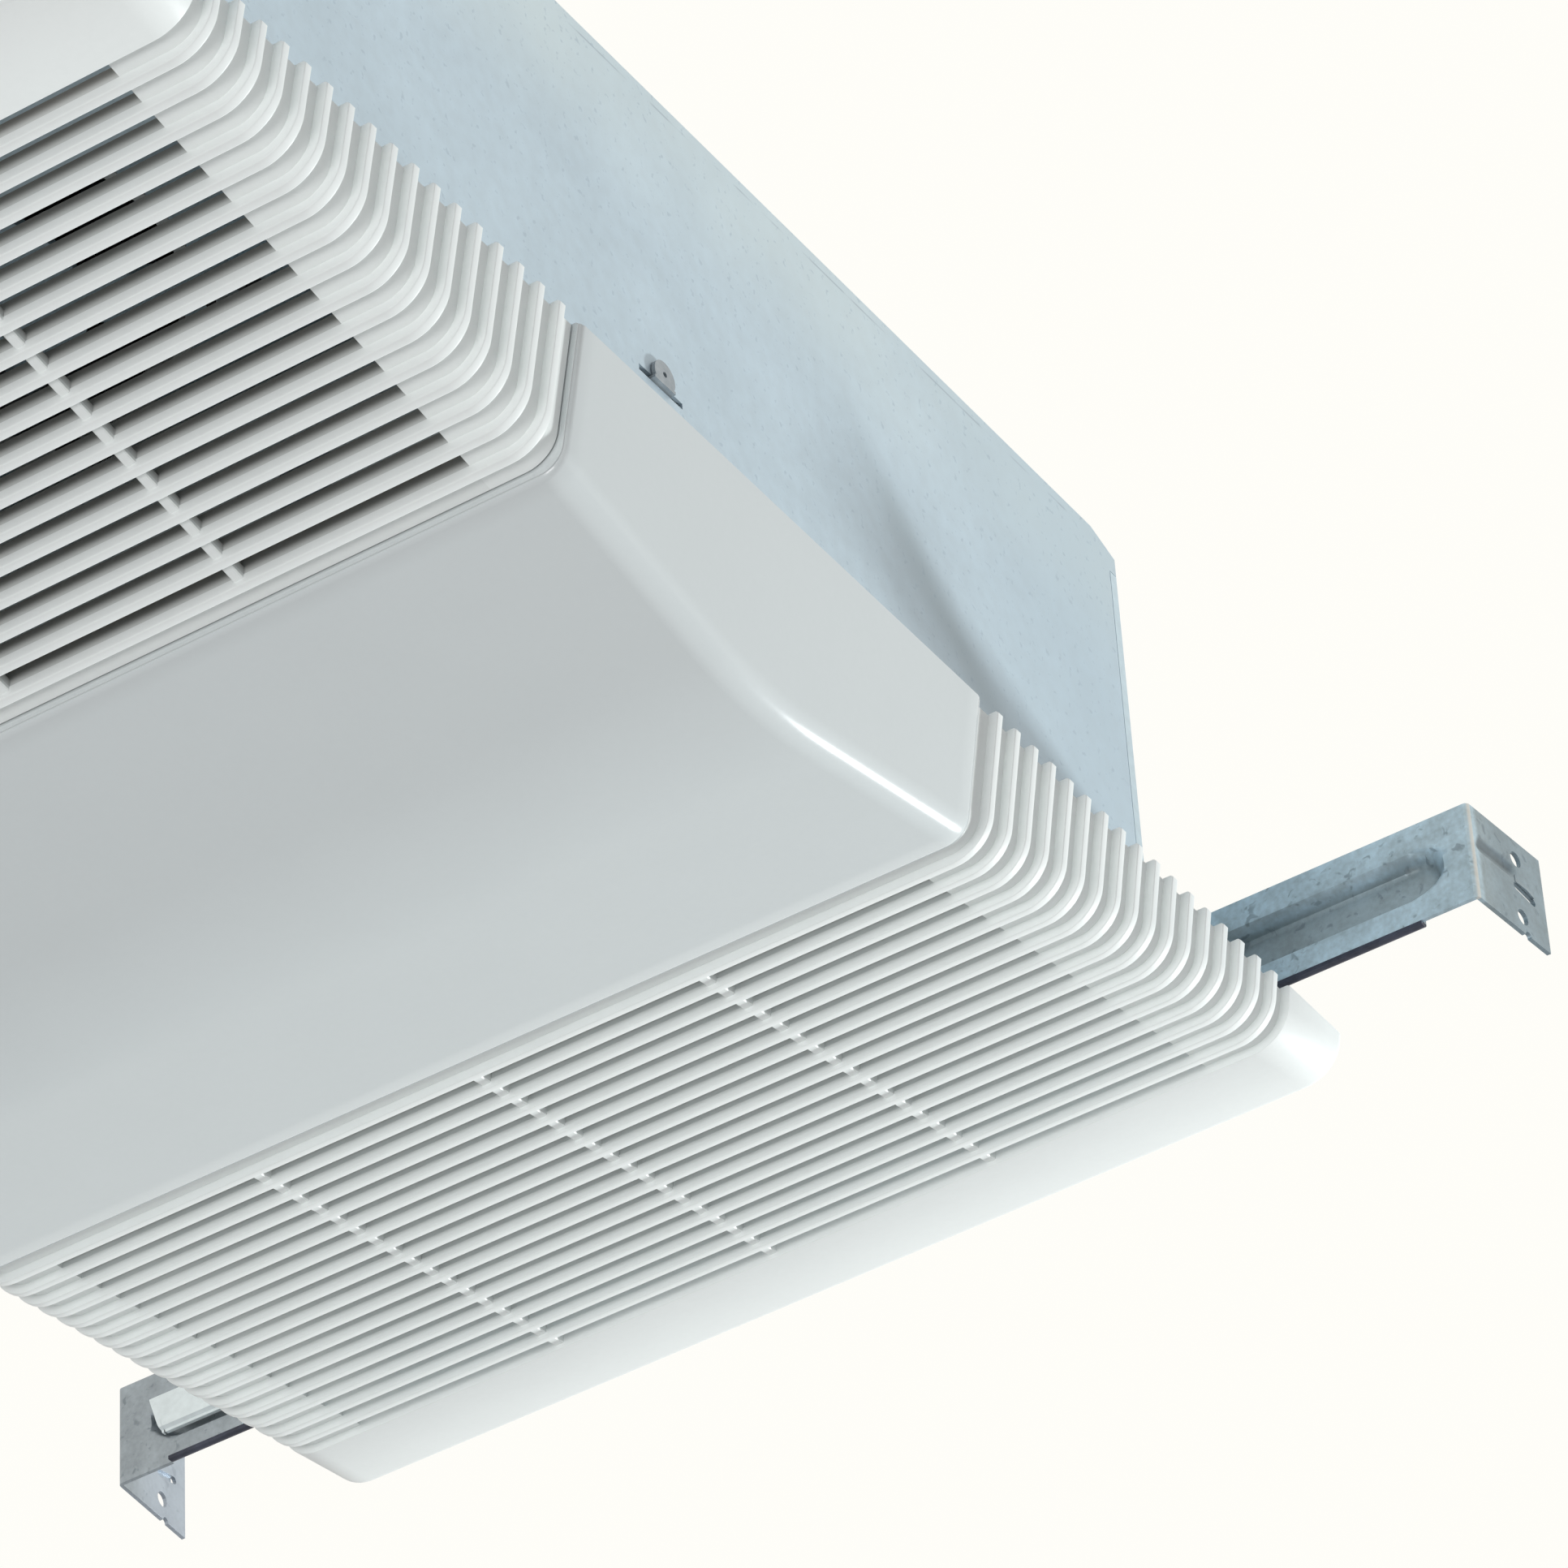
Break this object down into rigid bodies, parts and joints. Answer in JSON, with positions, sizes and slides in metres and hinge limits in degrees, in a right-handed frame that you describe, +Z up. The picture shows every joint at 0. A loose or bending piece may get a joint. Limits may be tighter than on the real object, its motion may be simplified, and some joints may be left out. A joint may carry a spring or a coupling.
{
  "type": "ceiling exhaust fan with light",
  "caption": "Ceiling exhaust fan with a light: louvred grille with a full-width lens, galvanised housing, centrifugal blower with duct collar, and telescoping joist hanger bars.",
  "frame": {"origin": "middle of the ceiling opening, on the ceiling face that the grille's rim meets", "axes": "+X along the grille's ribs and the hanger bars, +Y along the unit away from the duct, +Z up into the ceiling"},
  "size_m": [0.3788, 0.4792, 0.1793],
  "materials": {
    "galvanised_sheet": "spangled",
    "zinc_hardware": "satin",
    "spring_steel": "bright",
    "white_grille_plastic": "satin",
    "lens_plastic": "translucent",
    "collar_plastic": "matte",
    "flap_plastic": "matte",
    "wheel_plastic": "matte",
    "motor_can": "satin",
    "motor_iron": "matte",
    "grommet_rubber": "matte",
    "white_pan_enamel": "gloss",
    "socket_porcelain": "glazed",
    "lamp_glass": "frosted",
    "lamp_cap_brass": "bright",
    "white_device_plastic": "gloss",
    "brown_device_plastic": "gloss",
    "lead_sleeve": "satin",
    "green_screw": "gloss"
  },
  "bodies": {
    "housing": {"housing_shell": "galvanised_sheet", "end_plate_wiring": "galvanised_sheet", "end_plate_duct": "galvanised_sheet", "knockout_discs": "galvanised_sheet", "duct_collar": "collar_plastic", "damper_pin": "zinc_hardware", "collar_screws": "zinc_hardware", "scroll_wrap": "galvanised_sheet", "blower_plate": "galvanised_sheet", "blower_posts": "zinc_hardware", "post_screws": "zinc_hardware", "inlet_ring": "collar_plastic", "motor_bracket": "galvanised_sheet", "motor_grommets": "grommet_rubber", "motor_screws": "zinc_hardware", "motor_body": "motor_can", "motor_end_cap": "motor_can", "motor_stator": "motor_iron", "lamp_pan": "white_pan_enamel", "socket_left": "socket_porcelain", "socket_right": "socket_porcelain", "lamp_left": "lamp_glass", "lamp_right": "lamp_glass", "lamp_caps": "lamp_cap_brass", "wiring_cover": "galvanised_sheet", "fan_receptacle": "white_device_plastic", "light_receptacle": "brown_device_plastic", "fan_plug": "white_device_plastic", "light_plug": "brown_device_plastic", "motor_leads": "lead_sleeve", "lamp_leads": "lead_sleeve", "ground_screw": "green_screw", "cover_screw": "zinc_hardware", "bar_guides_front": "galvanised_sheet", "bar_guides_rear": "galvanised_sheet", "guide_rivets": "zinc_hardware", "bar_lock_screws": "zinc_hardware"},
    "blower": {"blower_wheel": "wheel_plastic", "motor_shaft": "zinc_hardware", "motor_rotor": "motor_iron", "wheel_clip": "spring_steel"},
    "damper": {"damper_flap": "flap_plastic"},
    "grille": {"grille": "white_grille_plastic", "lens": "lens_plastic", "lens_clips": "spring_steel", "grille_spring_front": "spring_steel", "grille_spring_rear": "spring_steel"},
    "front_channel": {"front_bar_channel": "galvanised_sheet"},
    "front_slide": {"front_bar_slide": "galvanised_sheet"},
    "rear_channel": {"rear_bar_channel": "galvanised_sheet"},
    "rear_slide": {"rear_bar_slide": "galvanised_sheet"}
  },
  "joints": [
    {"name": "blower_spin", "type": "hinge", "parent": "housing", "child": "blower", "pos_m": [-0.005, -0.1, 0.1], "axis": [0, 0, 1], "continuous": true},
    {"name": "damper_swing", "type": "hinge", "parent": "housing", "child": "damper", "pos_m": [-0.06575, -0.196, 0.109], "axis": [-1, 0, 0], "range_deg": [0, 78]},
    {"name": "grille_drop", "type": "slide", "parent": "housing", "child": "grille", "axis": [0, 0, -1], "range_m": [0, 0.06], "stiffness_N_per_m": 60, "springref_m": -0.12, "deforming": ["grille_spring_front", "grille_spring_rear"]},
    {"name": "front_channel_slide", "type": "slide", "parent": "housing", "child": "front_channel", "axis": [-1, 0, 0], "range_m": [-0.003, 0.102]},
    {"name": "front_slide_slide", "type": "slide", "parent": "housing", "child": "front_slide", "axis": [1, 0, 0], "range_m": [-0.003, 0.102]},
    {"name": "rear_channel_slide", "type": "slide", "parent": "housing", "child": "rear_channel", "axis": [1, 0, 0], "range_m": [-0.003, 0.102]},
    {"name": "rear_slide_slide", "type": "slide", "parent": "housing", "child": "rear_slide", "axis": [-1, 0, 0], "range_m": [-0.003, 0.102]}
  ]
}
